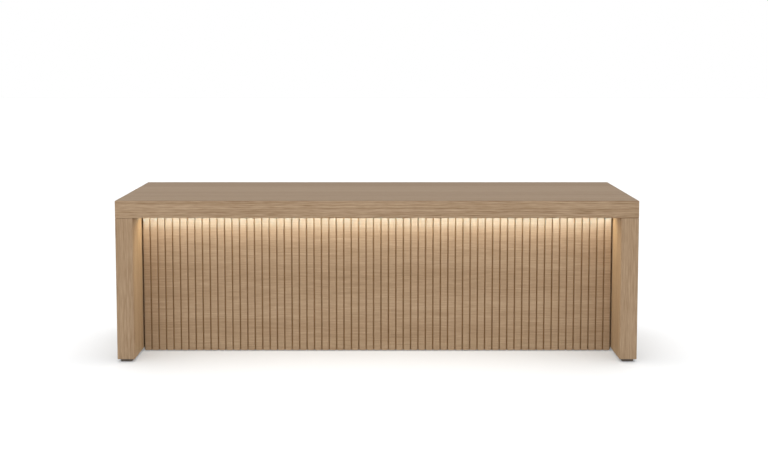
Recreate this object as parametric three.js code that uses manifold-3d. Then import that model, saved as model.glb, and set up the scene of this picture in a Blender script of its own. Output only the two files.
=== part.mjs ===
// Reception desk: a box-built worktop on two box-built gables, with a grooved front panel
// set back between them and a recessed light line washing down the grooves.
// Millimetres, +Z up. The origin is on the floor under the middle of the worktop,
// +X runs along the desk and -Y faces the visitor.
import * as THREE from "three";
import { mergeVertices } from "three/addons/utils/BufferGeometryUtils.js";
import Module from "manifold-3d";

const wasm = await Module();
wasm.setup();

// Whole desk
const deskLength = 2400;
const deskDepth = 800;
const deskHeight = 750;

// Boards
const slabThickness = 80;
const gableThickness = 80;
const worktopBoard = 22;
const undersideBoard = 18;
const gableBoard = 18;
const lippingThickness = 4;
const lippingEase = 2;
const railWidth = 60;
const ribWidth = 40;
const ribCount = 3;
const seam = 0.3;

// Grooved front
const frontRecess = 210;
const frontThickness = 22;
const frontSideGap = 8;
const frontFloorGap = 4;
const nominalSlatPitch = 35.3;
const grooveWidth = 6;
const grooveDepth = 9;
const slatEase = 0.8;
const backingThickness = 18;

// Light line in the underside of the worktop
const lightToFront = 50;
const lightEndGap = 6;
const slotWidth = 18;
const slotDepth = 10;
const slotClearance = 0.3;
const channelHeight = 9;
const channelWall = 1.2;
const wingWidth = 25;
const wingThickness = 1.2;
const tapeWidth = 10;
const tapeThickness = 1.6;
const diffuserThickness = 1.2;
const diffuserCrown = 0.8;
const diffuserLeg = 3.2;
const endCapThickness = 1.6;
const leadHoleDiameter = 9;
const leadHoleFromEnd = 40;

// Driver that feeds the light line, fixed under the worktop on the staff side
const driverLength = 176;
const driverWidth = 44;
const driverHeight = 19;
const driverEase = 2;
const driverCorner = 5;
const driverEarLength = 14;
const driverEarThickness = 4;
const driverEarHole = 4.5;
const driverX = 430;
const driverBehindBacking = 60;
const terminalWidth = 20;
const terminalHeight = 9;
const terminalDepth = 7;

// Levelling feet
const footGap = 12;
const footWidth = 54;
const footInset = 10;
const footCorner = 5;
const footEdge = 1.5;
const stemDiameter = 10;
const stemLength = 42;
const insertDiameter = 16;
const insertLength = 26;
const insertFlangeDiameter = 24;
const insertFlange = 2;
const threadClearance = 0.3;

// Dowels between gable and worktop
const dowelDiameter = 12;
const dowelLength = 50;
const dowelChamfer = 1.5;
const dowelSpacing = 420;
const dowelClearance = 0.3;

// Angle brackets on the staff side
const bracketLeg = 40;
const bracketWidth = 50;
const bracketThickness = 2.5;
const bracketBend = 3;
const bracketHole = 5;
const bracketHoleFromEdge = 12;
const worktopBracketCount = 3;
const worktopBracketInset = 260;
const gableBracketFromBacking = 70;
const gableBracketFromRear = 90;
const lowBracketHeight = 200;

const arcSteps = 4;
const smallRound = 16;

// Levels and planes worked out from the sizes above
const halfLength = deskLength / 2;
const halfDepth = deskDepth / 2;
const underside = deskHeight - slabThickness;
const gableTop = underside - seam;
const gableInside = halfLength - gableThickness;
const gableMiddle = halfLength - gableThickness / 2;
const boardEnd = halfLength - lippingThickness - seam;
const boardEdge = halfDepth - lippingThickness - seam;
const coreLow = underside + undersideBoard + seam;
const coreHigh = deskHeight - worktopBoard - seam;
const frontFace = -halfDepth + frontRecess;
const frontBack = frontFace + frontThickness;
const backingFace = frontBack + seam;
const backingBack = backingFace + backingThickness;
const lightMiddle = frontFace - lightToFront;
const lightHalfLength = gableInside - lightEndGap;
const driverMiddle = backingBack + driverBehindBacking;
const footCentre = halfDepth - footInset - footWidth / 2;

const sides = { left: -1, right: 1 };
const ends = { front: -1, rear: 1 };

const finishes = {
  oakVeneer: new THREE.MeshStandardMaterial({ color: 0xa98f73, roughness: 0.55, metalness: 0 }),
  coreBoard: new THREE.MeshStandardMaterial({ color: 0xb89b6f, roughness: 0.85, metalness: 0 }),
  beech: new THREE.MeshStandardMaterial({ color: 0xcfae80, roughness: 0.7, metalness: 0 }),
  aluminium: new THREE.MeshStandardMaterial({ color: 0xc4c6c8, roughness: 0.35, metalness: 1 }),
  zincSteel: new THREE.MeshStandardMaterial({ color: 0xb4b6b8, roughness: 0.4, metalness: 1 }),
  tape: new THREE.MeshStandardMaterial({ color: 0xf2ead8, roughness: 0.6, metalness: 0 }),
  opal: new THREE.MeshStandardMaterial({ color: 0xfff0d8, roughness: 0.4, metalness: 0 }),
  greyPlastic: new THREE.MeshStandardMaterial({ color: 0xbfc0c0, roughness: 0.5, metalness: 0 }),
  whitePlastic: new THREE.MeshStandardMaterial({ color: 0xe9e9e6, roughness: 0.5, metalness: 0 }),
  blackPlastic: new THREE.MeshStandardMaterial({ color: 0x2b2724, roughness: 0.6, metalness: 0 }),
};

const desk = new THREE.Group();

function addPiece(name, geometry, finish) {
  const piece = new THREE.Mesh(geometry, finish);
  piece.name = name;
  desk.add(piece);
  return piece;
}

// A closed geometry as a solid that can be joined and cut.
function solidFrom(geometry) {
  const bare = new THREE.BufferGeometry();
  const loose = geometry.index ? geometry.toNonIndexed() : geometry;
  bare.setAttribute("position", loose.getAttribute("position"));
  const merged = mergeVertices(bare, 1e-4);
  return new wasm.Manifold(
    new wasm.Mesh({
      numProp: 3,
      vertProperties: merged.attributes.position.array,
      triVerts: new Uint32Array(merged.index.array),
    }),
  );
}

function geometryFrom(solid) {
  const mesh = solid.getMesh();
  const geometry = new THREE.BufferGeometry();
  geometry.setAttribute("position", new THREE.BufferAttribute(mesh.vertProperties, 3));
  geometry.setIndex(new THREE.BufferAttribute(mesh.triVerts, 1));
  geometry.computeVertexNormals();
  return geometry;
}

function cut(geometry, ...tools) {
  const carved = tools.reduce((solid, tool) => solid.subtract(solidFrom(tool)), solidFrom(geometry));
  return geometryFrom(carved);
}

function join(...geometries) {
  return geometryFrom(geometries.map(solidFrom).reduce((whole, next) => whole.add(next)));
}

// A square-edged board between two limits on each axis.
function board([x0, x1], [y0, y1], [z0, z1]) {
  const geometry = new THREE.BoxGeometry(x1 - x0, y1 - y0, z1 - z0);
  return geometry.translate((x0 + x1) / 2, (y0 + y1) / 2, (z0 + z1) / 2);
}

// The same span on either side of the middle plane, low end first.
function mirrored([inner, outer], side) {
  return side < 0 ? [-outer, -inner] : [inner, outer];
}

// An upright round bar or drill.
function roundBar(diameter, [x, y], [z0, z1], segments = smallRound) {
  const geometry = new THREE.CylinderGeometry(diameter / 2, diameter / 2, z1 - z0, segments);
  return geometry.rotateX(Math.PI / 2).translate(x, y, (z0 + z1) / 2);
}

// A profile of [radius, height] points turned about the upright axis, foot of the profile first.
function turned(profile, segments) {
  const points = profile.map(([radius, height]) => new THREE.Vector2(radius, height));
  return new THREE.LatheGeometry(points, segments).rotateX(Math.PI / 2);
}

// A rectangle whose corners have the radii given, counter-clockwise from the low corner.
function easedRectangle([u0, u1], [v0, v1], radii) {
  const corners = [
    { u: u0, v: v0, inU: 1, inV: 1, start: Math.PI },
    { u: u1, v: v0, inU: -1, inV: 1, start: -Math.PI / 2 },
    { u: u1, v: v1, inU: -1, inV: -1, start: 0 },
    { u: u0, v: v1, inU: 1, inV: -1, start: Math.PI / 2 },
  ];
  const outline = new THREE.Shape();
  corners.forEach(({ u, v, inU, inV, start }, corner) => {
    const radius = radii[corner];
    if (radius > 0) {
      outline.absarc(u + inU * radius, v + inV * radius, radius, start, start + Math.PI / 2, false);
    } else if (corner === 0) {
      outline.moveTo(u, v);
    } else {
      outline.lineTo(u, v);
    }
  });
  return outline;
}

function outlineThrough(points) {
  return new THREE.Shape(points.map(([u, v]) => new THREE.Vector2(u, v)));
}

const axisX = new THREE.Vector3(1, 0, 0);
const axisY = new THREE.Vector3(0, 1, 0);
const axisZ = new THREE.Vector3(0, 0, 1);

// How a drawn outline (u, v) and its extrusion lie on the desk's axes.
const alongX = new THREE.Matrix4().makeBasis(axisY, axisZ, axisX);
const alongY = new THREE.Matrix4().makeBasis(axisZ, axisX, axisY);
const alongZ = new THREE.Matrix4().makeBasis(axisX, axisY, axisZ);

function extruded(outline, direction, [from, to]) {
  const options = { depth: to - from, bevelEnabled: false, curveSegments: arcSteps };
  const geometry = new THREE.ExtrudeGeometry(outline, options).translate(0, 0, from);
  return geometry.applyMatrix4(direction);
}

// Evenly spread positions, the first and last at the ends given.
function spread(count, first, last) {
  return Array.from({ length: count }, (_, i) => first + ((last - first) * i) / (count - 1));
}

function dowelPlaces(side) {
  return [-1, 1].map((end) => [side * gableMiddle, (end * dowelSpacing) / 2]);
}

const dowelSpan = [gableTop - dowelLength / 2, gableTop + dowelLength / 2];

function dowelDrill(place) {
  const [low, high] = dowelSpan;
  const depth = [low - dowelClearance, high + dowelClearance];
  return roundBar(dowelDiameter + 2 * dowelClearance, place, depth);
}

function addWorktop() {
  const wholePlan = [[-boardEnd, boardEnd], [-boardEdge, boardEdge]];
  addPiece("worktop_top_board", board(...wholePlan, [deskHeight - worktopBoard, deskHeight]), finishes.oakVeneer);

  const drills = Object.values(sides).flatMap(dowelPlaces).map(dowelDrill);
  const leadHoleX = lightHalfLength - leadHoleFromEnd;
  const throughUnderside = [underside - seam, coreLow];
  const lightSlot = board(
    [-lightHalfLength, lightHalfLength],
    [lightMiddle - slotWidth / 2, lightMiddle + slotWidth / 2],
    [underside - seam, underside + slotDepth],
  );
  const leadHoles = [
    roundBar(leadHoleDiameter, [leadHoleX, lightMiddle], throughUnderside),
    roundBar(leadHoleDiameter, [driverX + driverLength / 2 + driverEarLength * 2, driverMiddle], throughUnderside),
  ];
  const undersidePlain = board(...wholePlan, [underside, underside + undersideBoard]);
  addPiece("worktop_underside_board", cut(undersidePlain, lightSlot, ...leadHoles, ...drills), finishes.oakVeneer);

  const core = [coreLow, coreHigh];
  for (const [end, sign] of Object.entries(ends)) {
    const railY = mirrored([boardEdge - railWidth, boardEdge], sign);
    addPiece(`worktop_${end}_rail`, board([-boardEnd, boardEnd], railY, core), finishes.coreBoard);

    const lippingY = mirrored([halfDepth - lippingThickness, halfDepth], sign);
    const radii = sign < 0 ? [lippingEase, 0, 0, lippingEase] : [0, lippingEase, lippingEase, 0];
    const profile = easedRectangle(lippingY, [underside, deskHeight], radii);
    addPiece(`worktop_${end}_lipping`, extruded(profile, alongX, [-halfLength, halfLength]), finishes.oakVeneer);
  }

  const betweenRails = [-boardEdge + railWidth + seam, boardEdge - railWidth - seam];
  for (const [side, sign] of Object.entries(sides)) {
    const railX = mirrored([gableInside, boardEnd], sign);
    const rail = board(railX, betweenRails, core);
    addPiece(`worktop_${side}_rail`, cut(rail, ...dowelPlaces(sign).map(dowelDrill)), finishes.coreBoard);

    const lippingX = mirrored([halfLength - lippingThickness, halfLength], sign);
    const radii = sign < 0 ? [lippingEase, lippingEase, 0, 0] : [0, 0, lippingEase, lippingEase];
    const profile = easedRectangle([underside, deskHeight], lippingX, radii);
    addPiece(`worktop_${side}_lipping`, extruded(profile, alongY, [-boardEdge, boardEdge]), finishes.oakVeneer);
  }

  const bay = (2 * gableInside) / (ribCount + 1);
  spread(ribCount, -gableInside + bay, gableInside - bay).forEach((x, i) => {
    const rib = board([x - ribWidth / 2, x + ribWidth / 2], betweenRails, core);
    addPiece(`worktop_core_rib_${i + 1}`, rib, finishes.coreBoard);
  });
}

function footPlace(side, end) {
  return [side * gableMiddle, end * footCentre];
}

// Stepped hole that takes the threaded insert, with room above it for the stem.
function footDrills(place) {
  const fit = 2 * threadClearance;
  return [
    roundBar(insertFlangeDiameter + fit, place, [footGap - seam, footGap + insertFlange + threadClearance]),
    roundBar(insertDiameter + fit, place, [footGap - seam, footGap + insertLength + threadClearance]),
    roundBar(stemDiameter + 4 * fit, place, [footGap - seam, footGap + stemLength + seam]),
  ];
}

function addGable(side, sign) {
  const height = [footGap, gableTop];
  const boardDepth = [-boardEdge, boardEdge];
  const core = mirrored([gableInside + gableBoard + seam, halfLength - gableBoard - seam], sign);
  const outer = mirrored([halfLength - gableBoard, halfLength], sign);
  const inner = mirrored([gableInside, gableInside + gableBoard], sign);
  addPiece(`${side}_gable_outer_board`, board(outer, boardDepth, height), finishes.oakVeneer);
  addPiece(`${side}_gable_inner_board`, board(inner, boardDepth, height), finishes.oakVeneer);

  const topRail = board(core, boardDepth, [gableTop - railWidth, gableTop]);
  addPiece(`${side}_gable_top_rail`, cut(topRail, ...dowelPlaces(sign).map(dowelDrill)), finishes.coreBoard);
  const bottomRail = board(core, boardDepth, [footGap, footGap + railWidth]);
  const drills = Object.values(ends).flatMap((end) => footDrills(footPlace(sign, end)));
  addPiece(`${side}_gable_bottom_rail`, cut(bottomRail, ...drills), finishes.coreBoard);

  const uprightHeight = [footGap + railWidth + seam, gableTop - railWidth - seam];
  for (const [end, endSign] of Object.entries(ends)) {
    const railY = mirrored([boardEdge - railWidth, boardEdge], endSign);
    addPiece(`${side}_gable_${end}_rail`, board(core, railY, uprightHeight), finishes.coreBoard);

    const lippingX = mirrored([gableInside, halfLength], sign);
    const lippingY = mirrored([halfDepth - lippingThickness, halfDepth], endSign);
    const radii = endSign < 0 ? [lippingEase, lippingEase, 0, 0] : [0, 0, lippingEase, lippingEase];
    const profile = easedRectangle(lippingX, lippingY, radii);
    addPiece(`${side}_gable_${end}_lipping`, extruded(profile, alongZ, height), finishes.oakVeneer);
  }

  dowelPlaces(sign).forEach(([x, y], i) => {
    const radius = dowelDiameter / 2;
    const half = dowelLength / 2;
    const profile = [
      [0, -half],
      [radius - dowelChamfer, -half],
      [radius, -half + dowelChamfer],
      [radius, half - dowelChamfer],
      [radius - dowelChamfer, half],
      [0, half],
    ];
    const dowel = addPiece(`${side}_dowel_${i + 1}`, turned(profile, smallRound), finishes.beech);
    dowel.position.set(x, y, gableTop);
  });
}

// Threaded insert in the gable and the foot that screws into it, drawn screwed right in.
function addFoot(side, end) {
  const [x, y] = footPlace(sides[side], ends[end]);
  const bore = stemDiameter / 2 + threadClearance;
  const insertProfile = [
    [bore, footGap],
    [insertFlangeDiameter / 2, footGap],
    [insertFlangeDiameter / 2, footGap + insertFlange],
    [insertDiameter / 2, footGap + insertFlange],
    [insertDiameter / 2, footGap + insertLength],
    [bore, footGap + insertLength],
    [bore, footGap],
  ];
  const insert = addPiece(`${end}_${side}_foot_insert`, turned(insertProfile, smallRound), finishes.zincSteel);
  insert.position.set(x, y, 0);

  const padHalf = footWidth / 2 - footEdge;
  const padTop = footGap - seam;
  const corners = [footCorner, footCorner, footCorner, footCorner];
  const pad = new THREE.ExtrudeGeometry(easedRectangle([-padHalf, padHalf], [-padHalf, padHalf], corners), {
    depth: padTop - 2 * footEdge,
    bevelThickness: footEdge,
    bevelSize: footEdge,
    bevelSegments: 2,
    curveSegments: arcSteps,
  }).translate(0, 0, footEdge);
  const stem = roundBar(stemDiameter, [0, 0], [padTop - footEdge, footGap + stemLength]);
  const foot = addPiece(`${end}_${side}_foot`, join(pad, stem), finishes.blackPlastic);
  foot.position.set(x, y, 0);
}

// One board whose face is milled into slats by upright grooves.
function addFront() {
  const halfWidth = gableInside - frontSideGap;
  const slatCount = Math.round((2 * halfWidth + grooveWidth) / nominalSlatPitch);
  const pitch = (2 * halfWidth + grooveWidth) / slatCount;
  const grooveFloor = frontFace + grooveDepth;
  const points = [
    [halfWidth, frontBack],
    [-halfWidth, frontBack],
  ];
  for (let slat = 0; slat < slatCount; slat++) {
    const left = -halfWidth + slat * pitch;
    const right = left + pitch - grooveWidth;
    if (slat > 0) points.push([left, grooveFloor]);
    points.push([left, frontFace + slatEase], [left + slatEase, frontFace]);
    points.push([right - slatEase, frontFace], [right, frontFace + slatEase]);
    if (slat < slatCount - 1) points.push([right, grooveFloor]);
  }
  const grooved = extruded(outlineThrough(points), alongZ, [frontFloorGap, underside - seam]);
  addPiece("grooved_front_panel", grooved, finishes.oakVeneer);

  const backingX = [-gableInside + seam, gableInside - seam];
  const backing = board(backingX, [backingFace, backingBack], [frontFloorGap, underside - seam]);
  addPiece("backing_panel", backing, finishes.oakVeneer);
}

function addLightLine() {
  const bodyHalf = slotWidth / 2 - slotClearance;
  const mouthHalf = bodyHalf - channelWall;
  const wingHalf = wingWidth / 2;
  const wingTop = underside - seam;
  const wingLow = wingTop - wingThickness;
  const bodyTop = underside + channelHeight;
  const roof = bodyTop - channelWall;
  const capOuter = lightHalfLength - slotClearance;
  const channelEnd = capOuter - endCapThickness;
  const across = (points) => outlineThrough(points.map(([u, v]) => [lightMiddle + u, v]));

  const channel = across([
    [-wingHalf, wingLow],
    [-mouthHalf, wingLow],
    [-mouthHalf, roof],
    [mouthHalf, roof],
    [mouthHalf, wingLow],
    [wingHalf, wingLow],
    [wingHalf, wingTop],
    [bodyHalf, wingTop],
    [bodyHalf, bodyTop],
    [-bodyHalf, bodyTop],
    [-bodyHalf, wingTop],
    [-wingHalf, wingTop],
  ]);
  addPiece("light_channel", extruded(channel, alongX, [-channelEnd, channelEnd]), finishes.aluminium);

  const tapeEnd = channelEnd - seam;
  const tapeTop = roof - seam;
  const tapeY = [lightMiddle - tapeWidth / 2, lightMiddle + tapeWidth / 2];
  addPiece("light_tape", board([-tapeEnd, tapeEnd], tapeY, [tapeTop - tapeThickness, tapeTop]), finishes.tape);

  const coverHalf = mouthHalf - slotClearance;
  const coverTop = wingLow + diffuserThickness;
  const legInside = coverHalf - diffuserThickness;
  const cover = new THREE.Shape();
  cover.moveTo(lightMiddle - coverHalf, wingLow);
  cover.quadraticCurveTo(lightMiddle, wingLow - 2 * diffuserCrown, lightMiddle + coverHalf, wingLow);
  for (const [u, v] of [
    [coverHalf, wingLow + diffuserLeg],
    [legInside, wingLow + diffuserLeg],
    [legInside, coverTop],
    [-legInside, coverTop],
    [-legInside, wingLow + diffuserLeg],
    [-coverHalf, wingLow + diffuserLeg],
  ]) {
    cover.lineTo(lightMiddle + u, v);
  }
  addPiece("light_diffuser", extruded(cover, alongX, [-tapeEnd, tapeEnd]), finishes.opal);

  const cap = across([
    [-wingHalf, wingLow],
    [wingHalf, wingLow],
    [wingHalf, wingTop],
    [bodyHalf, wingTop],
    [bodyHalf, bodyTop],
    [-bodyHalf, bodyTop],
    [-bodyHalf, wingTop],
    [-wingHalf, wingTop],
  ]);
  for (const [side, sign] of Object.entries(sides)) {
    const span = mirrored([channelEnd + seam, capOuter], sign);
    addPiece(`light_${side}_end_cap`, extruded(cap, alongX, span), finishes.greyPlastic);
  }
}

function addDriver() {
  const halfBody = driverLength / 2;
  const halfWidth = driverWidth / 2;
  const high = underside - seam;
  const low = high - driverHeight;
  const corner = driverCorner;
  const caseOutline = easedRectangle(
    [driverX - halfBody + driverEase, driverX + halfBody - driverEase],
    [driverMiddle - halfWidth + driverEase, driverMiddle + halfWidth - driverEase],
    [corner, corner, corner, corner],
  );
  const casing = new THREE.ExtrudeGeometry(caseOutline, {
    depth: driverHeight - 2 * driverEase,
    bevelThickness: driverEase,
    bevelSize: driverEase,
    bevelSegments: 2,
    curveSegments: arcSteps,
  }).translate(0, 0, low + driverEase);

  const earReach = halfBody + driverEarLength;
  const earHalf = halfWidth - driverCorner;
  const ears = extruded(
    easedRectangle(
      [driverX - earReach, driverX + earReach],
      [driverMiddle - earHalf, driverMiddle + earHalf],
      [corner, corner, corner, corner],
    ),
    alongZ,
    [high - driverEarThickness, high],
  );
  const pastEar = [high - driverEarThickness - seam, high + seam];
  const earMiddle = halfBody + driverEarLength / 2;
  const screwHoles = [-1, 1].map((end) => {
    return roundBar(driverEarHole, [driverX + end * earMiddle, driverMiddle], pastEar);
  });
  const terminalLow = low + driverEase + seam;
  const terminals = [-1, 1].map((end) => {
    const depth = end < 0 ? [-halfBody - seam, -halfBody + terminalDepth] : [halfBody - terminalDepth, halfBody + seam];
    return board(
      depth.map((x) => driverX + x),
      [driverMiddle - terminalWidth / 2, driverMiddle + terminalWidth / 2],
      [terminalLow, terminalLow + terminalHeight],
    );
  });
  addPiece("light_driver", cut(join(casing, ears), ...screwHoles, ...terminals), finishes.whitePlastic);
}

// Pressed steel angle: legs along +x and +y from its outer corner, screw holes through both.
function angleBracket() {
  const leg = bracketLeg;
  const metal = bracketThickness;
  const inside = metal + bracketBend;
  const profile = new THREE.Shape();
  profile.moveTo(inside, 0);
  profile.lineTo(leg, 0);
  profile.lineTo(leg, metal);
  profile.lineTo(inside, metal);
  profile.absarc(inside, inside, bracketBend, -Math.PI / 2, -Math.PI, true);
  profile.lineTo(metal, leg);
  profile.lineTo(0, leg);
  profile.lineTo(0, inside);
  profile.absarc(inside, inside, inside, Math.PI, 1.5 * Math.PI, false);
  const angle = extruded(profile, alongZ, [-bracketWidth / 2, bracketWidth / 2]);

  const along = leg - bracketHoleFromEdge;
  const across = bracketWidth / 2 - bracketHoleFromEdge;
  const drill = () => {
    return new THREE.CylinderGeometry(bracketHole / 2, bracketHole / 2, 2 * inside, smallRound);
  };
  const drills = [-across, across].flatMap((z) => [
    drill().translate(along, 0, z),
    drill().rotateZ(Math.PI / 2).translate(0, along, z),
  ]);
  return cut(angle, ...drills);
}

function addBracket(name, [x, y, z], legA, legB) {
  const bracket = addPiece(name, angleBracket(), finishes.zincSteel);
  const turn = new THREE.Matrix4().makeBasis(legA, legB, legA.clone().cross(legB));
  bracket.quaternion.setFromRotationMatrix(turn);
  bracket.position.set(x, y, z);
}

function addBrackets() {
  const down = axisZ.clone().negate();
  const left = axisX.clone().negate();
  const ceiling = underside - seam;
  const wall = gableInside - seam;
  const behind = backingBack + seam;
  const gableBracketY = [backingBack + gableBracketFromBacking, halfDepth - gableBracketFromRear];
  gableBracketY.forEach((y, i) => {
    addBracket(`left_worktop_bracket_${i + 1}`, [-wall, y, ceiling], axisX, down);
    addBracket(`right_worktop_bracket_${i + 1}`, [wall, y, ceiling], down, left);
  });
  const lastBracket = gableInside - worktopBracketInset;
  spread(worktopBracketCount, -lastBracket, lastBracket).forEach((x, i) => {
    addBracket(`backing_worktop_bracket_${i + 1}`, [x, behind, ceiling], down, axisY);
  });
  addBracket("left_backing_bracket", [-wall, behind, lowBracketHeight], axisX, axisY);
  addBracket("right_backing_bracket", [wall, behind, lowBracketHeight], axisY, left);
}

addWorktop();
for (const [side, sign] of Object.entries(sides)) {
  addGable(side, sign);
  for (const end of Object.keys(ends)) addFoot(side, end);
}
addFront();
addLightLine();
addDriver();
addBrackets();

export default desk;
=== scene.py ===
# Reception desk: veneers, eased boards, grooved front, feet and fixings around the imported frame
import math

import bmesh
import bpy
from mathutils import Matrix, Vector


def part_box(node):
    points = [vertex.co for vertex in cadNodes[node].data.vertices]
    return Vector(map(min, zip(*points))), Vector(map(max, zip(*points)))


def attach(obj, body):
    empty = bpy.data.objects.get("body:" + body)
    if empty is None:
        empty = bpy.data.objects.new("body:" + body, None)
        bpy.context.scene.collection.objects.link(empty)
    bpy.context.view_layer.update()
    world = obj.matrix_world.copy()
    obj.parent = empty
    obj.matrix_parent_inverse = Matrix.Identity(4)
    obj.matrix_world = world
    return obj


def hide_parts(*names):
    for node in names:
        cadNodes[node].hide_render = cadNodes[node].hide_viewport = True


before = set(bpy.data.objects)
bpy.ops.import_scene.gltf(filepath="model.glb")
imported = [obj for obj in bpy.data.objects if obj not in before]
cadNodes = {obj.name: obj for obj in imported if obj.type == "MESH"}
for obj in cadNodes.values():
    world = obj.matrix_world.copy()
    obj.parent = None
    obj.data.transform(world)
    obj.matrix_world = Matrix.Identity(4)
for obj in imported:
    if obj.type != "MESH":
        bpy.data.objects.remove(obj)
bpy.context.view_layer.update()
deskBody = "desk"
frontNode = "grooved_front_panel"
print("frame loaded:", len(cadNodes), "nodes")

sideNormals = {
    "-x": Vector((-1, 0, 0)), "+x": Vector((1, 0, 0)),
    "-y": Vector((0, -1, 0)), "+y": Vector((0, 1, 0)),
    "-z": Vector((0, 0, -1)), "+z": Vector((0, 0, 1)),
}
tolerance = 1e-5  # metres, within which two places are the same
squareOn = 0.99  # cosine, from which two directions are the same


# modelling helpers


def deselectAll():
    if bpy.context.mode != "OBJECT":
        bpy.ops.object.mode_set(mode="OBJECT")
    bpy.ops.object.select_all(action="DESELECT")


def makeActive(piece):
    deselectAll()
    piece.select_set(True)
    bpy.context.view_layer.objects.active = piece


def nameActive(name):
    piece = bpy.context.active_object
    piece.name = name
    piece.data.name = name
    return piece


def settlePlace():
    bpy.ops.object.transform_apply(location=True, rotation=True, scale=True)


def startBlock(name, low, high):
    deselectAll()
    bpy.ops.mesh.primitive_cube_add(size=1, location=(low + high) / 2)
    piece = nameActive(name)
    piece.scale = high - low
    settlePlace()
    return piece


def pick(piece, kind, wanted):
    # selects verts, edges or faces of the piece in edit mode
    if bpy.context.mode != "EDIT_MESH":
        makeActive(piece)
        bpy.ops.object.mode_set(mode="EDIT")
    bpy.ops.mesh.select_mode(type=kind)
    bpy.ops.mesh.select_all(action="DESELECT")
    mesh = bmesh.from_edit_mesh(piece.data)
    for part in {"VERT": mesh.verts, "EDGE": mesh.edges, "FACE": mesh.faces}[kind]:
        if wanted(part):
            part.select_set(True)
    bmesh.update_edit_mesh(piece.data)


def pull(x, y, z):
    bpy.ops.mesh.extrude_region_move(TRANSFORM_OT_translate={"value": (x, y, z)})


def middle(part):
    return sum((vert.co for vert in part.verts), Vector()) / len(part.verts)


def near(first, second):
    return abs(first - second) < tolerance


def upright(edge):
    along = edge.verts[1].co - edge.verts[0].co
    return abs(along.z) > squareOn * along.length


def looksTo(face, side):
    return face.normal.dot(sideNormals[side]) > squareOn


def roundEdges(radius, segments):
    bpy.ops.mesh.bevel(offset=radius, segments=segments, affect="EDGES")


def applyModifier(piece, kind, **settings):
    makeActive(piece)
    modifier = piece.modifiers.new(kind.lower(), kind)
    for name, value in settings.items():
        setattr(modifier, name, value)
    bpy.ops.object.modifier_apply(modifier=modifier.name)


def smoothEdges(piece, angle=50):  # degrees, up to which an edge is shaded round
    makeActive(piece)
    bpy.ops.object.shade_smooth_by_angle(angle=math.radians(angle))
    applyModifier(piece, "WEIGHTED_NORMAL", weight=100, keep_sharp=True)


def copyPiece(source, name, place):
    piece = source.copy()
    piece.data = source.data.copy()
    piece.name = name
    piece.data.name = name
    piece.data.transform(place)
    bpy.context.scene.collection.objects.link(piece)
    return piece


def finishPiece(piece, material, slot, body, *replaced):
    piece.data.materials.clear()
    piece.data.materials.append(material)
    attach(piece, body)
    if replaced:
        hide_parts(*replaced)


# shader helpers


def newMaterial(name):
    material = bpy.data.materials.new(name)
    material.use_nodes = True
    tree = material.node_tree
    return material, tree, tree.nodes["Principled BSDF"]


def addNode(tree, kind, **inputs):
    node = tree.nodes.new(kind)
    for name, value in inputs.items():
        node.inputs[name.replace("_", " ")].default_value = value
    return node


def feed(tree, socket, value):
    if isinstance(value, (int, float, tuple)):
        socket.default_value = value
    else:
        tree.links.new(value, socket)


def mathNode(tree, operation, first, second, clamp=False):
    node = tree.nodes.new("ShaderNodeMath")
    node.operation = operation
    node.use_clamp = clamp
    feed(tree, node.inputs[0], first)
    feed(tree, node.inputs[1], second)
    return node.outputs[0]


def vectorNode(tree, operation, first, second):
    node = tree.nodes.new("ShaderNodeVectorMath")
    node.operation = operation
    feed(tree, node.inputs[0], first)
    feed(tree, node.inputs[1], second)
    return node.outputs[0]


def mixColour(tree, factor, first, second):
    node = tree.nodes.new("ShaderNodeMix")
    node.data_type = "RGBA"  # its colours are sockets 6 and 7, and its result is socket 2
    feed(tree, node.inputs[0], factor)
    feed(tree, node.inputs[6], first)
    feed(tree, node.inputs[7], second)
    return node.outputs[2]


def stretchedNoise(tree, vector, stretch, detail, roughness):
    noise = addNode(tree, "ShaderNodeTexNoise", Scale=1.0, Detail=detail, Roughness=roughness)
    tree.links.new(vectorNode(tree, "MULTIPLY", vector, stretch), noise.inputs["Vector"])
    return noise.outputs["Fac"]


def remap(tree, value, low, high, newLow=0.0, newHigh=1.0):
    span = {"From_Min": low, "From_Max": high, "To_Min": newLow, "To_Max": newHigh}
    node = addNode(tree, "ShaderNodeMapRange", **span)
    tree.links.new(value, node.inputs["Value"])
    return node.outputs["Result"]


def makeGroup(name, vectors=(), colours=(), values=()):
    group = bpy.data.node_groups.new(name, "ShaderNodeTree")
    sockets = (
        ("NodeSocketVector", vectors),
        ("NodeSocketColor", colours),
        ("NodeSocketFloat", values),
    )
    for kind, names in sockets:
        for socket in names:
            group.interface.new_socket(socket, in_out="INPUT", socket_type=kind)
    group.interface.new_socket("Color", in_out="OUTPUT", socket_type="NodeSocketColor")
    for socket in ("Roughness", "Height"):
        group.interface.new_socket(socket, in_out="OUTPUT", socket_type="NodeSocketFloat")
    start = group.nodes.new("NodeGroupInput").outputs
    end = group.nodes.new("NodeGroupOutput").inputs
    return group, start, end


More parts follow.
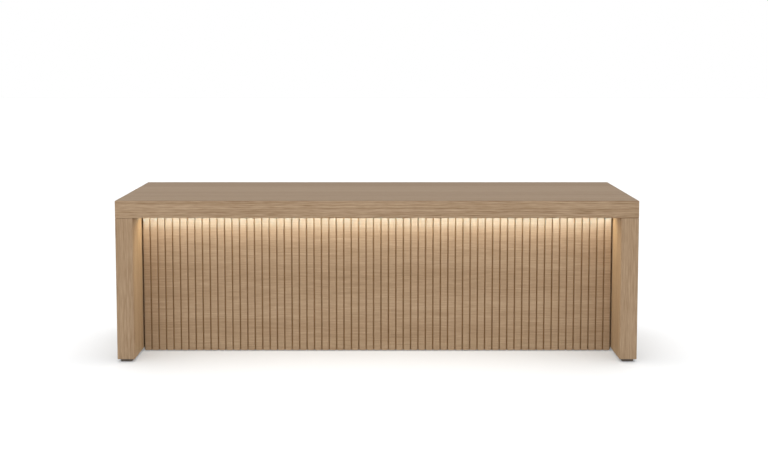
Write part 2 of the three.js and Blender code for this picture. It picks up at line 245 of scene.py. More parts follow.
# oak: the grain runs along the first axis of the vector that the group is given
oakFigure = {
    "leafWidth": 0.21,  # veneer leaves side by side
    "leafShift": (13.7, 0.0, 5.3),
    "sway": ((1.1, 3.5, 3.5), 2.0, 0.5),  # the lines wander a little, as sawn grain does
    "swayReach": 0.003,
    # cells to the metre, detail and roughness of the noise, then the part of it that is kept
    # and the value at its low end
    "layers": {
        "bands": ((0.45, 15, 15), 2.0, 0.5, (0.32, 0.68), -1.0),
        "streaks": ((1.0, 170, 170), 3.0, 0.6, (0.34, 0.66), -1.0),
        "lines": ((12, 240, 240), 2.0, 0.55, (0.34, 0.66), -1.0),
        "fibres": ((26, 720, 720), 2.0, 0.6, (0.3, 0.7), 0.0),
        "flecks": ((9, 230, 230), 1.0, 0.5, (0.66, 0.74), 0.0),
        "pores": ((30, 1250, 1250), 1.0, 0.5, (0.62, 0.74), 0.0),
    },
    "roughness": 0.5,
    "fibreRoughness": 0.1,
    "poreRoughness": 0.2,
    "fibreHeight": -0.25,
    "bump": {"Strength": 0.25, "Distance": 0.0004},
    "gloss": 0.08,
}
oakDepths = ("Leaf Depth", "Band Depth", "Streak Depth", "Line Depth", "Fleck Depth", "Pore Depth")


def buildOakGroup(figure):
    group, start, end = makeGroup("oakFigure", ("Vector",), ("Base", "Dark", "Pale"), oakDepths)

    sway = stretchedNoise(group, start["Vector"], *figure["sway"])
    swayMove = mathNode(group, "SUBTRACT", sway, 0.5)
    swayMove = mathNode(group, "MULTIPLY", swayMove, figure["swayReach"])
    swayVector = group.nodes.new("ShaderNodeCombineXYZ")
    group.links.new(swayMove, swayVector.inputs["Y"])
    group.links.new(swayMove, swayVector.inputs["Z"])
    along = vectorNode(group, "ADD", start["Vector"], swayVector.outputs[0])

    # each leaf of veneer has its own stretch of grain and its own tone
    split = group.nodes.new("ShaderNodeSeparateXYZ")
    group.links.new(start["Vector"], split.inputs[0])
    across = mathNode(group, "DIVIDE", split.outputs["Y"], figure["leafWidth"])
    leaf = mathNode(group, "FLOOR", across, 0.0)
    chance = group.nodes.new("ShaderNodeTexWhiteNoise")
    chance.noise_dimensions = "1D"
    group.links.new(leaf, chance.inputs["W"])
    shift = vectorNode(group, "MULTIPLY", chance.outputs["Color"], figure["leafShift"])
    along = vectorNode(group, "ADD", along, shift)

    layers = {}
    for name, (stretch, detail, roughness, kept, lowest) in figure["layers"].items():
        noise = stretchedNoise(group, along, stretch, detail, roughness)
        layers[name] = remap(group, noise, *kept, lowest, 1.0)

    leafTone = remap(group, chance.outputs["Value"], 0.0, 1.0, -1.0, 1.0)
    tone = mathNode(group, "MULTIPLY", leafTone, start["Leaf Depth"])
    toneDepths = {"bands": "Band Depth", "streaks": "Streak Depth", "lines": "Line Depth"}
    for name, depth in toneDepths.items():
        share = mathNode(group, "MULTIPLY", layers[name], start[depth])
        tone = mathNode(group, "ADD", tone, share)
    darkness = mathNode(group, "ADD", tone, 1.0, clamp=True)
    paleness = mathNode(group, "MULTIPLY", tone, 1.0, clamp=True)
    fleckMask = mathNode(group, "MULTIPLY", layers["flecks"], start["Fleck Depth"])
    poreMask = mathNode(group, "MULTIPLY", layers["pores"], start["Pore Depth"])
    colour = mixColour(group, darkness, start["Dark"], start["Base"])
    colour = mixColour(group, paleness, colour, start["Pale"])
    colour = mixColour(group, fleckMask, colour, start["Pale"])
    colour = mixColour(group, poreMask, colour, start["Dark"])
    group.links.new(colour, end["Color"])

    fibres = layers["fibres"]
    rough = mathNode(group, "MULTIPLY", fibres, figure["fibreRoughness"])
    rough = mathNode(group, "ADD", rough, figure["roughness"])
    poreRough = mathNode(group, "MULTIPLY", poreMask, figure["poreRoughness"])
    group.links.new(mathNode(group, "ADD", rough, poreRough), end["Roughness"])
    fibreHeight = mathNode(group, "MULTIPLY", fibres, figure["fibreHeight"])
    group.links.new(mathNode(group, "SUBTRACT", fibreHeight, poreMask), end["Height"])
    return group


oakTones = {
    "base": (0.380, 0.259, 0.159, 1),
    "dark": (0.262, 0.166, 0.092, 1),
    "pale": (0.490, 0.356, 0.234, 1),
}
alongX = (0.0, 0.0, 0.0)
alongY = (0.0, 0.0, math.radians(90))
alongZ = (0.0, math.radians(90), 0.0)
oakFinishes = {
    # which way the veneer runs, where its leaf starts and how pale it is, then the depth
    # of its leaves, bands, streaks, lines, flecks and pores
    "oakTop": (alongX, (0.3, 2.12, 0.4), 1.07, (0.45, 0.12, 0.1, 0.1, 0.2, 0.5)),
    "oakEdge": (alongX, (2.1, 0.3, 3.3), 0.98, (0.0, 0.12, 0.65, 0.6, 0.6, 0.6)),
    "oakEnd": (alongY, (0.7, 0.3, 2.2), 0.98, (0.0, 0.12, 0.65, 0.6, 0.6, 0.6)),
    "oakFront": (alongX, (2.3, 2.3, 17.055), 1.1, (0.0, 0.18, 0.2, 0.33, 0.5, 0.6)),
    "oakBack": (alongX, (0.8, 2.3, 17.055), 1.0, (0.0, 0.2, 0.22, 0.36, 0.5, 0.6)),
    "oakGable": (alongZ, (1.3, 4.1, 2.6), 0.99, (0.1, 0.2, 0.3, 0.35, 0.3, 0.6)),
    "oakUpright": (alongZ, (1.3, 4.1, 2.6), 0.99, (0.0, 0.1, 0.35, 0.45, 0.3, 0.6)),
}
slatTone = {
    "lightWashReach": 0.16,  # how far below their tops the grain is painted quieter, where the line's light washes over it
    "lightWashShare": 0.2,  # what is left of its depth at the tops
    "grooveShadeReach": 0.006,  # how far behind the slats' faces the painted shade in the grooves reaches its full depth
    "grooveShadeShare": 0.45,  # how much of the grooves' painted shade colour is mixed in there
    "grooveShadeColour": (0.30, 0.135, 0.012, 1),
}


def paintSlatLightAndShade(tree, place, figure):
    # painted light: quieter grain in the slats' top band, where the line's light washes over it;
    # painted shade: a deeper brown in the grooves
    split = tree.nodes.new("ShaderNodeSeparateXYZ")
    tree.links.new(place.outputs["Object"], split.inputs[0])
    low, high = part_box(frontNode)
    lightWashStart = high.z - slatTone["lightWashReach"]
    share = remap(tree, split.outputs["Z"], lightWashStart, high.z, 1.0, slatTone["lightWashShare"])
    for socket in oakDepths:
        depth = figure.inputs[socket]
        tree.links.new(mathNode(tree, "MULTIPLY", share, depth.default_value), depth)
    # painted shade: the grooves are mixed towards a deeper brown, where shade falls in them
    settled = low.y + slatTone["grooveShadeReach"]
    grooveShadeMask = remap(tree, split.outputs["Y"], low.y, settled, 0.0, slatTone["grooveShadeShare"])
    return mixColour(tree, grooveShadeMask, figure.outputs["Color"], slatTone["grooveShadeColour"])


def makeOak(name, finish, group):
    turn, start, pale, depths = finish
    material, tree, shader = newMaterial(name)
    place = tree.nodes.new("ShaderNodeTexCoord")
    mapping = addNode(tree, "ShaderNodeMapping", Location=start, Rotation=turn)
    tree.links.new(place.outputs["Object"], mapping.inputs["Vector"])
    figure = tree.nodes.new("ShaderNodeGroup")
    figure.node_tree = group
    tree.links.new(mapping.outputs[0], figure.inputs["Vector"])
    for tone, colour in oakTones.items():
        figure.inputs[tone.title()].default_value = [pale * part for part in colour[:3]] + [1]
    for socket, depth in zip(oakDepths, depths):
        figure.inputs[socket].default_value = depth
    bump = addNode(tree, "ShaderNodeBump", **oakFigure["bump"])
    tree.links.new(figure.outputs["Height"], bump.inputs["Height"])
    colour = figure.outputs["Color"]
    if name == "oakFront":
        colour = paintSlatLightAndShade(tree, place, figure)
    tree.links.new(colour, shader.inputs["Base Color"])
    tree.links.new(figure.outputs["Roughness"], shader.inputs["Roughness"])
    tree.links.new(bump.outputs[0], shader.inputs["Normal"])
    shader.inputs["Specular IOR Level"].default_value = oakFigure["gloss"]
    return material


oakGroup = buildOakGroup(oakFigure)
materials = {name: makeOak(name, finish, oakGroup) for name, finish in oakFinishes.items()}
print("veneers mixed:", ", ".join(materials))


# fine speckle shared by the plain plastics, metals and raw board
fineSpeckle = {
    "noise": {"Detail": 5.0, "Roughness": 0.6},
    "kept": (0.35, 0.65),  # the part of the noise that is used
    "bumpDistance": 0.0002,
}


def buildSpeckleGroup():
    values = ("Scale", "Low Roughness", "High Roughness")
    group, start, end = makeGroup("fineSpeckle", ("Vector",), ("Base", "Other"), values)
    noise = addNode(group, "ShaderNodeTexNoise", **fineSpeckle["noise"])
    group.links.new(start["Vector"], noise.inputs["Vector"])
    group.links.new(start["Scale"], noise.inputs["Scale"])
    spots = remap(group, noise.outputs["Fac"], *fineSpeckle["kept"])
    group.links.new(mixColour(group, spots, start["Base"], start["Other"]), end["Color"])
    spread = mathNode(group, "SUBTRACT", start["High Roughness"], start["Low Roughness"])
    rough = mathNode(group, "MULTIPLY", spots, spread)
    group.links.new(mathNode(group, "ADD", rough, start["Low Roughness"]), end["Roughness"])
    group.links.new(spots, end["Height"])
    return group


plainFinishes = {
    "rawBoard": {
        "base": (0.50, 0.36, 0.19, 1), "other": (0.36, 0.24, 0.12, 1), "scale": 260.0,
        "rough": (0.8, 0.95), "metal": 0.0, "bump": 0.4,
    },
    "beech": {
        "base": (0.62, 0.42, 0.22, 1), "other": (0.52, 0.34, 0.17, 1), "scale": 180.0,
        "rough": (0.6, 0.75), "metal": 0.0, "bump": 0.2,
    },
    "zincSteel": {
        "base": (0.56, 0.57, 0.58, 1), "other": (0.44, 0.45, 0.46, 1), "scale": 120.0,
        "rough": (0.28, 0.46), "metal": 1.0, "bump": 0.05,
    },
    "anodised": {
        "base": (0.62, 0.63, 0.64, 1), "other": (0.56, 0.57, 0.58, 1), "scale": 400.0,
        "rough": (0.3, 0.42), "metal": 1.0, "bump": 0.05,
    },
    "greyCap": {
        "base": (0.50, 0.51, 0.51, 1), "other": (0.46, 0.47, 0.47, 1), "scale": 900.0,
        "rough": (0.45, 0.6), "metal": 0.0, "bump": 0.15,
    },
    "whiteCase": {
        "base": (0.80, 0.80, 0.78, 1), "other": (0.75, 0.75, 0.73, 1), "scale": 900.0,
        "rough": (0.42, 0.58), "metal": 0.0, "bump": 0.15,
    },
    "blackFoot": {
        "base": (0.105, 0.082, 0.066, 1), "other": (0.082, 0.064, 0.052, 1), "scale": 700.0,
        "rough": (0.5, 0.7), "metal": 0.0, "bump": 0.25,
    },
}


def makePlain(name, finish, group):
    material, tree, shader = newMaterial(name)
    place = tree.nodes.new("ShaderNodeTexCoord")
    speckle = tree.nodes.new("ShaderNodeGroup")
    speckle.node_tree = group
    tree.links.new(place.outputs["Object"], speckle.inputs["Vector"])
    speckle.inputs["Base"].default_value = finish["base"]
    speckle.inputs["Other"].default_value = finish["other"]
    speckle.inputs["Scale"].default_value = finish["scale"]
    speckle.inputs["Low Roughness"].default_value = finish["rough"][0]
    speckle.inputs["High Roughness"].default_value = finish["rough"][1]
    depth = fineSpeckle["bumpDistance"]
    bump = addNode(tree, "ShaderNodeBump", Strength=finish["bump"], Distance=depth)
    tree.links.new(speckle.outputs["Height"], bump.inputs["Height"])
    tree.links.new(speckle.outputs["Color"], shader.inputs["Base Color"])
    tree.links.new(speckle.outputs["Roughness"], shader.inputs["Roughness"])
    tree.links.new(bump.outputs[0], shader.inputs["Normal"])
    shader.inputs["Metallic"].default_value = finish["metal"]
    return material


speckleGroup = buildSpeckleGroup()
for name, finish in plainFinishes.items():
    materials[name] = makePlain(name, finish, speckleGroup)

opalCover = {
    "colour": (1.0, 0.93, 0.80, 1),
    "between": (0.9, 0.82, 0.68, 1),  # a little dimmer between two emitters
    "strength": 3.0,
    "opal": (0.95, 0.9, 0.8, 1),
    "roughness": 0.45,
    "emitters": 60,  # to the metre
}


def makeOpal(name, glow):
    material, tree, shader = newMaterial(name)
    place = tree.nodes.new("ShaderNodeTexCoord")
    # at a scale of 1 the texture has 10 / pi waves to the metre
    wave = addNode(tree, "ShaderNodeTexWave", Scale=glow["emitters"] * math.pi / 10)
    wave.wave_type = "BANDS"
    wave.bands_direction = "X"
    tree.links.new(place.outputs["Object"], wave.inputs["Vector"])
    shine = mixColour(tree, wave.outputs["Fac"], glow["between"], glow["colour"])
    tree.links.new(shine, shader.inputs["Emission Color"])
    shader.inputs["Base Color"].default_value = glow["opal"]
    shader.inputs["Roughness"].default_value = glow["roughness"]
    shader.inputs["Emission Strength"].default_value = glow["strength"]
    material.cycles.emission_sampling = "NONE"
    return material


materials["opalGlow"] = makeOpal("opalGlow", opalCover)
print("finishes ready:", len(materials))


# boards with eased outer edges and fine joint lines
boardEdges = {
    "radius": 0.003,
    "segments": 3,
    "jointShare": 0.09,  # part of the radius left at an edge that meets the next board
}
boards = {
    # node: finish, and the sides that face the open
    "worktop_top_board": ("oakTop", ("+z",)),
    "worktop_front_lipping": ("oakEdge", ("-x", "+x", "-y", "-z", "+z")),
    "worktop_rear_lipping": ("oakEdge", ("-x", "+x", "+y", "-z", "+z")),
    "worktop_left_lipping": ("oakEnd", ("-x", "-z", "+z")),
    "worktop_right_lipping": ("oakEnd", ("+x", "-z", "+z")),
    "backing_panel": ("oakBack", ("+y", "-z")),
}
for side, outer, inner in (("left", "-x", "+x"), ("right", "+x", "-x")):
    boards[side + "_gable_outer_board"] = ("oakGable", (outer, "-z", "+z"))
    boards[side + "_gable_inner_board"] = ("oakGable", (inner, "-z", "+z"))
    boards[side + "_gable_front_lipping"] = ("oakUpright", ("-x", "+x", "-y", "-z", "+z"))
    boards[side + "_gable_rear_lipping"] = ("oakUpright", ("-x", "+x", "+y", "-z", "+z"))


def makeBoard(name, node, openSides):
    piece = startBlock(name, *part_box(node))

    def isOpen(face):
        return any(looksTo(face, side) for side in openSides)

    def openFaces(edge):
        return sum(isOpen(face) for face in edge.link_faces)

    for faces, weight in ((1, boardEdges["jointShare"]), (2, 1.0)):
        pick(piece, "EDGE", lambda edge: openFaces(edge) == faces)
        bpy.ops.transform.edge_bevelweight(value=weight)
    applyModifier(
        piece, "BEVEL", width=boardEdges["radius"], segments=boardEdges["segments"],
        limit_method="WEIGHT",
    )
    smoothEdges(piece)
    return piece


for node, (finish, openSides) in boards.items():
    board = makeBoard("board." + node, node, openSides)
    finishPiece(board, materials[finish], "oak_veneer", deskBody, node)
print("boards made:", len(boards))


# grooved front: one slat with its groove drawn in plan, repeated, then raised to its height
groovedFront = {
    "slats": 63,
    "grooveWidth": 0.006,
    "grooveDepth": 0.009,
    "round": 0.001,
    "segments": 3,
}


def makeGroovedFront():
    low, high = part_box(frontNode)
    groove = groovedFront["grooveWidth"]
    depth = groovedFront["grooveDepth"]
    pitch = (high.x - low.x + groove) / groovedFront["slats"]
    slatEnd = low.x + pitch - groove
    grooveFloor = low.y + depth
    deselectAll()
    centre = (low.x + pitch / 2, (grooveFloor + high.y) / 2, low.z)
    bpy.ops.mesh.primitive_plane_add(size=1, location=centre)
    piece = nameActive("groovedFront")
    piece.scale = (pitch, high.y - grooveFloor, 1)
    settlePlace()
    pick(piece, "FACE", lambda face: True)
    bpy.ops.mesh.bisect(plane_co=(slatEnd, 0, 0), plane_no=(1, 0, 0))
    pick(piece, "EDGE", lambda edge: near(middle(edge).y, grooveFloor) and middle(edge).x < slatEnd)
    pull(0, -depth, 0)
    applyModifier(
        piece, "ARRAY", count=groovedFront["slats"], use_relative_offset=False,
        use_constant_offset=True, constant_offset_displace=(pitch, 0, 0),
        use_merge_vertices=True, merge_threshold=tolerance,
    )
    pick(piece, "FACE", lambda face: middle(face).x > high.x)  # no groove after the last slat
    bpy.ops.mesh.delete(type="FACE")
    pick(piece, "FACE", lambda face: True)
    pull(0, 0, high.z - low.z)
    bpy.ops.mesh.select_all(action="SELECT")
    bpy.ops.mesh.normals_make_consistent(inside=False)
    pick(piece, "EDGE", lambda edge: upright(edge) and near(middle(edge).y, low.y))
    roundEdges(groovedFront["round"], groovedFront["segments"])
    smoothEdges(piece)
    return piece


finishPiece(makeGroovedFront(), materials["oakFront"], "oak_veneer", deskBody, frontNode)
print("grooved front made:", groovedFront["slats"], "slats")


# levelling feet: a moulded pad on a threaded steel stem, modelled once at the front left
levellingFoot = {
    "first": "front_left_foot",
    "others": ("front_right_foot", "rear_left_foot", "rear_right_foot"),
    "toGable": 0.0003,  # left open between the pad and the gable
    "corner": 0.005,
    "cornerSegments": 5,
    "soleHeight": 0.0025,
    "soleInset": 0.0012,
    "wellInset": 0.017,  # from the pad's edge to the well round the stem
    "wellDepth": 0.004,
    "edge": 0.0006,
    "edgeSegments": 2,
    "sharpEdge": 60,  # degrees, from which an edge of the pad is rounded
    "stemRadius": 0.005,
    "stemSides": 24,
    "threadPitch": 0.0015,
    "threadShare": 0.86,  # root of the thread as a share of its crest
    "threadSmooth": 25,  # degrees, up to which an edge of the stem is shaded round
}


def makeFootPad(low, high, padTop):
    corner = Vector((low.x, low.y, low.z + levellingFoot["soleHeight"]))
    opposite = Vector((high.x, high.y, padTop))
    piece = startBlock("footPad." + levellingFoot["first"], corner, opposite)
    pick(piece, "EDGE", upright)
    roundEdges(levellingFoot["corner"], levellingFoot["cornerSegments"])
    pick(piece, "FACE", lambda face: looksTo(face, "-z"))
    bpy.ops.mesh.inset(thickness=levellingFoot["soleInset"])
    pull(0, 0, -levellingFoot["soleHeight"])
    pick(piece, "FACE", lambda face: looksTo(face, "+z"))
    bpy.ops.mesh.inset(thickness=levellingFoot["wellInset"])
    pull(0, 0, -levellingFoot["wellDepth"])
    sharp = math.radians(levellingFoot["sharpEdge"])
    pick(piece, "EDGE", lambda edge: edge.calc_face_angle(0) > sharp)
    roundEdges(levellingFoot["edge"], levellingFoot["edgeSegments"])
    smoothEdges(piece)
    return piece


def makeFootStem(low, high, padTop):
    start = padTop - levellingFoot["wellDepth"]
    length = high.z - start
    centre = Vector(((low.x + high.x) / 2, (low.y + high.y) / 2, start + length / 2))
    deselectAll()
    bpy.ops.mesh.primitive_cylinder_add(
        vertices=levellingFoot["stemSides"], radius=levellingFoot["stemRadius"],
        depth=length, location=centre,
    )
    piece = nameActive("footStem." + levellingFoot["first"])
    settlePlace()
    halfTurns = 2 * round(length / levellingFoot["threadPitch"])
    pick(piece, "EDGE", upright)
    bpy.ops.mesh.subdivide(number_cuts=halfTurns - 1)
    step = length / halfTurns
    pick(piece, "VERT", lambda vert: round((vert.co.z - start) / step) % 2 == 0)
    share = levellingFoot["threadShare"]
    bpy.ops.transform.resize(value=(share, share, 1), center_override=centre)
    smoothEdges(piece, levellingFoot["threadSmooth"])
    return piece


def makeFeet():
    first = levellingFoot["first"]
    low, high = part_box(first)
    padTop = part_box("left_gable_bottom_rail")[0].z - levellingFoot["toGable"]
    pad = makeFootPad(low, high, padTop)
    stem = makeFootStem(low, high, padTop)
    feet = {first: (pad, stem)}
    for foot in levellingFoot["others"]:
        move = Matrix.Translation(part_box(foot)[0] - low)
        feet[foot] = (
            copyPiece(pad, "footPad." + foot, move),
            copyPiece(stem, "footStem." + foot, move),
        )
    for foot, (pad, stem) in feet.items():
        finishPiece(pad, materials["blackFoot"], "black_plastic", foot, foot)
        finishPiece(stem, materials["zincSteel"], "zinc_steel", foot)
    return feet


print("feet made:", len(makeFeet()))


# pan-head screws in the brackets and the driver, modelled once standing on the origin
screwHead = {
    "sides": 24,
    "radius": 0.0043,
    "height": 0.0023,
    "round": 0.0013,
    "segments": 4,
    "smooth": 40,  # degrees, as for the stem
    "socketRadius": 0.0018,
    "socketDepth": 0.0013,
}
bracketScrews = {
    # the way each kind's two legs run from their corner
    "legs": {
        "left_worktop_bracket": ("+x", "-z"),
        "right_worktop_bracket": ("-x", "-z"),
        "backing_worktop_bracket": ("+y", "-z"),
        "left_backing_bracket": ("+x", "+y"),
        "right_backing_bracket": ("-x", "+y"),
    },
    "metal": 0.0025,  # thickness of a leg
    "fromCorner": 0.028,
    "fromMiddle": 0.013,
}
driverScrews = {
    "node": "light_driver",
    "fromEnd": 0.007,
    "earThickness": 0.004,
}


def makeScrew():
    deselectAll()
    height = screwHead["height"]
    bpy.ops.mesh.primitive_cylinder_add(
        vertices=screwHead["sides"], radius=screwHead["radius"],
        depth=height, location=(0, 0, height / 2),
    )
    piece = nameActive("screwHead")
    settlePlace()
    pick(piece, "EDGE", lambda edge: near(middle(edge).z, height))
    roundEdges(screwHead["round"], screwHead["segments"])
    pick(piece, "FACE", lambda face: looksTo(face, "+z"))
    rim = screwHead["radius"] - screwHead["round"] - screwHead["socketRadius"]
    bpy.ops.mesh.inset(thickness=rim)
    pull(0, 0, -screwHead["socketDepth"])
    smoothEdges(piece, screwHead["smooth"])
    return piece


def screwPlace(seat, outward):
    turn = sideNormals["+z"].rotation_difference(outward).to_matrix().to_4x4()
    return Matrix.Translation(seat) @ turn


def bracketPlaces(node, legs):
    low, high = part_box(node)
    first, second = (sideNormals[side] for side in legs)
    width = first.cross(second)
    towards = first + second
    corner = (low + high) / 2
    for axis in range(3):
        if towards[axis]:
            corner[axis] = low[axis] if towards[axis] > 0 else high[axis]
    places = []
    for leg, outward in ((first, second), (second, first)):
        for share in (-1, 1):
            seat = corner + leg * bracketScrews["fromCorner"] + outward * bracketScrews["metal"]
            places.append(screwPlace(seat + width * share * bracketScrews["fromMiddle"], outward))
    return places


def driverPlaces():
    low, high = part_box(driverScrews["node"])
    seatY = (low.y + high.y) / 2
    seatZ = high.z - driverScrews["earThickness"]
    ends = (low.x + driverScrews["fromEnd"], high.x - driverScrews["fromEnd"])
    return [screwPlace(Vector((x, seatY, seatZ)), sideNormals["-z"]) for x in ends]


def setScrews(screw, node, places):
    copies = [copyPiece(screw, "screws." + node, place) for place in places]
    deselectAll()
    for copy in copies:
        copy.select_set(True)
    bpy.context.view_layer.objects.active = copies[0]
    bpy.ops.object.join()
    finishPiece(copies[0], materials["zincSteel"], "zinc_steel", deskBody)


def makeScrews():
    screw = makeScrew()
    sets = {}
    for kind, legs in bracketScrews["legs"].items():
        for node in sorted(name for name in cadNodes if name.startswith(kind)):
            sets[node] = bracketPlaces(node, legs)
    sets[driverScrews["node"]] = driverPlaces()
    for node, places in sets.items():
        setScrews(screw, node, places)
    bpy.data.objects.remove(screw)
    return len(sets)


print("screw sets made:", makeScrews())


# nodes whose solids already have the right shape keep it and get their finish
keptNodes = {
    "worktop_underside_board": "oakTop",
    "light_channel": "anodised",
    "light_tape": "whiteCase",
    "light_diffuser": "opalGlow",
    "light_left_end_cap": "greyCap",
    "light_right_end_cap": "greyCap",
    "light_driver": "whiteCase",
}
keptKinds = {
    "rail": "rawBoard",
    "core_rib": "rawBoard",
    "dowel": "beech",
    "insert": "zincSteel",
    "bracket": "zincSteel",
}


def keptFinish(node):
    for kind, finish in keptKinds.items():
        if kind in node:
            return finish
    return keptNodes.get(node)  # none where a new piece stands for the node


for node, shape in cadNodes.items():
    finish = keptFinish(node)
    if finish:
        shape.data.materials.clear()
        shape.data.materials.append(materials[finish])
print("kept nodes finished")


# stage, light and camera
stage = {
    "floorSize": 60.0,
    "floorBounce": (0.335, 0.335, 0.335, 1),  # of the sky's light and the floor's own lamp
    "floorShown": (0.48, 0.48, 0.48, 1),
    "floorGlow": (0.205, 0.212, 0.217, 1),  # what it shows where no light falls
    "skyOverhead": 0.45,
    "skyRing": 2.2,  # added towards the horizon, so that upright faces are lit as well as the top
    "ringFade": 3.0,
}
softKey = {"place": (-1.0, -4.6, 2.4), "aim": (0, 0, 0.4), "size": (4.0, 2.4), "power": 30.0}
floorSun = {"place": (0, 0.8, 3.5), "aim": (0, 0, 0), "strength": 3.8, "angle": 60.0}
lightLine = {
    "cover": "light_diffuser",
    "drop": 0.004,
    "toFront": 0.10,  # in front of the slats
    "mirrored": 0.15,  # how far it goes on past each gable, as its reflection there does
    "width": 0.006,
    "tilt": 65.0,  # turned towards the slats
    "spread": 110.0,
    "power": 1.03,
    "colour": (0.96, 1.0, 1.0),
}
wideSpill = {
    # what the opal cover scatters to all sides
    "tilt": 86.0,
    "spread": 180.0,
    "power": 0.66,
    "colour": (1.0, 1.0, 0.97),
}
whiteGlow = {
    # what pales the tops of the slats
    "tilt": 75.0,
    "spread": 60.0,
    "power": 0.44,
    "colour": (0.09, 0.55, 1.0),
}
lineEnds = {
    # the same line seen from the gables: straight down, so that it pools at its ends
    "toFront": 0.04,
    "fromGable": 0.045,
    "width": 0.012,
    "power": 6.0,
    "colour": (1.0, 0.94, 0.72),
}
floorSpill = {
    # what the line throws on the floor of the recess
    "power": 8.0,
    "colour": (1.0, 0.96, 0.90),
}


def seenRays(tree):
    path = tree.nodes.new("ShaderNodeLightPath").outputs
    seen = mathNode(tree, "ADD", path["Is Camera Ray"], path["Is Glossy Ray"], clamp=True)
    return mathNode(tree, "ADD", seen, path["Is Transmission Ray"], clamp=True)


def makeFloor():
    deselectAll()
    bpy.ops.mesh.primitive_plane_add(size=stage["floorSize"], location=(0, 0, 0))
    floor = nameActive("floor")
    material = bpy.data.materials.new("paleFloor")
    material.use_nodes = True
    tree = material.node_tree
    tree.nodes.clear()
    bounce = addNode(tree, "ShaderNodeBsdfDiffuse", Color=stage["floorBounce"])
    shown = addNode(tree, "ShaderNodeBsdfDiffuse", Color=stage["floorShown"])
    glow = addNode(tree, "ShaderNodeEmission", Color=stage["floorGlow"], Strength=1.0)
    both = tree.nodes.new("ShaderNodeAddShader")
    tree.links.new(shown.outputs[0], both.inputs[0])
    tree.links.new(glow.outputs[0], both.inputs[1])
    choice = tree.nodes.new("ShaderNodeMixShader")
    tree.links.new(seenRays(tree), choice.inputs[0])
    tree.links.new(bounce.outputs[0], choice.inputs[1])
    tree.links.new(both.outputs[0], choice.inputs[2])
    # seen from under the floor it is clear, so that the feet and the underside show there
    clear = tree.nodes.new("ShaderNodeBsdfTransparent")
    sides = tree.nodes.new("ShaderNodeMixShader")
    tree.links.new(tree.nodes.new("ShaderNodeNewGeometry").outputs["Backfacing"], sides.inputs[0])
    tree.links.new(choice.outputs[0], sides.inputs[1])
    tree.links.new(clear.outputs[0], sides.inputs[2])
    output = tree.nodes.new("ShaderNodeOutputMaterial")
    tree.links.new(sides.outputs[0], output.inputs["Surface"])
    floor.data.materials.append(material)
    return floor


def makeSky():
    world = bpy.data.worlds.new("studio")
    bpy.context.scene.world = world
    world.use_nodes = True
    tree = world.node_tree
    tree.nodes.clear()
    split = tree.nodes.new("ShaderNodeSeparateXYZ")
    tree.links.new(tree.nodes.new("ShaderNodeTexCoord").outputs["Generated"], split.inputs[0])
    slant = mathNode(tree, "ABSOLUTE", split.outputs["Z"], 0.0)
    lowness = mathNode(tree, "SUBTRACT", 1.0, slant, clamp=True)
    fade = mathNode(tree, "POWER", lowness, stage["ringFade"])
    ring = mathNode(tree, "MULTIPLY", fade, stage["skyRing"])
    light = addNode(tree, "ShaderNodeBackground", Color=(1, 1, 1, 1))
    tree.links.new(mathNode(tree, "ADD", ring, stage["skyOverhead"]), light.inputs["Strength"])
    white = addNode(tree, "ShaderNodeBackground", Color=(1, 1, 1, 1), Strength=1.0)
    choice = tree.nodes.new("ShaderNodeMixShader")
    tree.links.new(seenRays(tree), choice.inputs[0])
    tree.links.new(light.outputs[0], choice.inputs[1])
    tree.links.new(white.outputs[0], choice.inputs[2])
    output = tree.nodes.new("ShaderNodeOutputWorld")
    tree.links.new(choice.outputs[0], output.inputs["Surface"])


def aimedLamp(name, kind, place, aim):
    deselectAll()
    bpy.ops.object.light_add(type=kind, location=place)
    lamp = nameActive(name)
    lamp.rotation_euler = (Vector(aim) - Vector(place)).to_track_quat("-Z", "Y").to_euler()
    lamp.visible_camera = False
    return lamp


def addLamp(name, place, aim, size, power, colour=(1, 1, 1)):
    lamp = aimedLamp(name, "AREA", place, aim)
    lamp.data.shape = "RECTANGLE"
    lamp.data.size, lamp.data.size_y = size
    lamp.data.energy = power
    lamp.data.color = colour
    return lamp


def limitLamp(lamp, receivers):
    group = bpy.data.collections.new(lamp.name)
    for piece in receivers:
        group.objects.link(piece)
    lamp.light_linking.receiver_collection = group
    return group


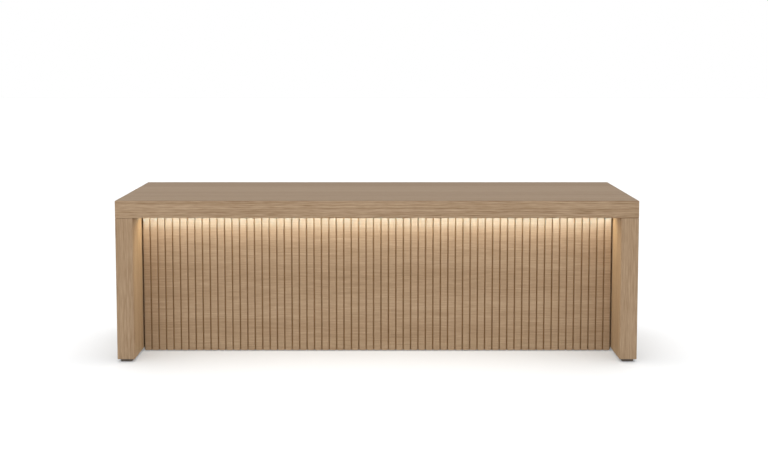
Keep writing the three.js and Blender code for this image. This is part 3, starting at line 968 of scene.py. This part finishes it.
def makeLamps(floor):
    addLamp("softKey", **softKey)
    sun = aimedLamp("floorSun", "SUN", floorSun["place"], floorSun["aim"])
    sun.data.energy = floorSun["strength"]
    sun.data.angle = math.radians(floorSun["angle"])
    limitLamp(sun, [floor])

    # the light line just under its opal cover, split into what the slats, gables and floor get
    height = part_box(lightLine["cover"])[0].z - lightLine["drop"]
    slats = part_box(frontNode)[0].y
    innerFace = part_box("right_gable_inner_board")[0].x
    size = (2 * (innerFace + lightLine["mirrored"]), lightLine["width"])
    place = Vector((0, slats - lightLine["toFront"], height))
    lines = {"lightLine": lightLine, "wideSpill": wideSpill, "whiteGlow": whiteGlow}
    for name, setting in lines.items():
        tilt = math.radians(setting["tilt"])
        aim = place + Vector((0, math.sin(tilt), -math.cos(tilt)))
        line = addLamp(name, place, aim, size, setting["power"], setting["colour"])
        line.data.spread = math.radians(setting["spread"])
        line.light_linking.blocker_collection = limitLamp(line, [bpy.data.objects["groovedFront"]])

    parts = ("_gable_inner_board", "_gable_front_lipping")
    sides = ("left", "right")
    gables = [bpy.data.objects["board." + side + part] for side in sides for part in parts]
    place = Vector((0, slats - lineEnds["toFront"], height))
    size = (2 * (innerFace - lineEnds["fromGable"]), lineEnds["width"])
    aim = place + sideNormals["-z"]
    pools = (("lineEnds", lineEnds, gables), ("floorSpill", floorSpill, [floor]))
    for name, setting, receivers in pools:
        pool = addLamp(name, place, aim, size, setting["power"], setting["colour"])
        limitLamp(pool, receivers)


camera = {
    "place": (0.032, -5.935, 1.434),
    "lookDown": 4.83,
    "sensor": 36.0,
    "lens": 57.15,
    "shiftY": -0.10,
}


def makeCamera():
    deselectAll()
    tilt = math.radians(90 - camera["lookDown"])
    bpy.ops.object.camera_add(location=camera["place"], rotation=(tilt, 0, 0))
    eye = nameActive("photoCamera")
    eye.data.sensor_width = camera["sensor"]
    eye.data.lens = camera["lens"]
    eye.data.shift_y = camera["shiftY"]
    bpy.context.scene.camera = eye


makeLamps(makeFloor())
makeSky()
makeCamera()
bpy.context.scene.view_settings.view_transform = "Standard"
print("stage set")
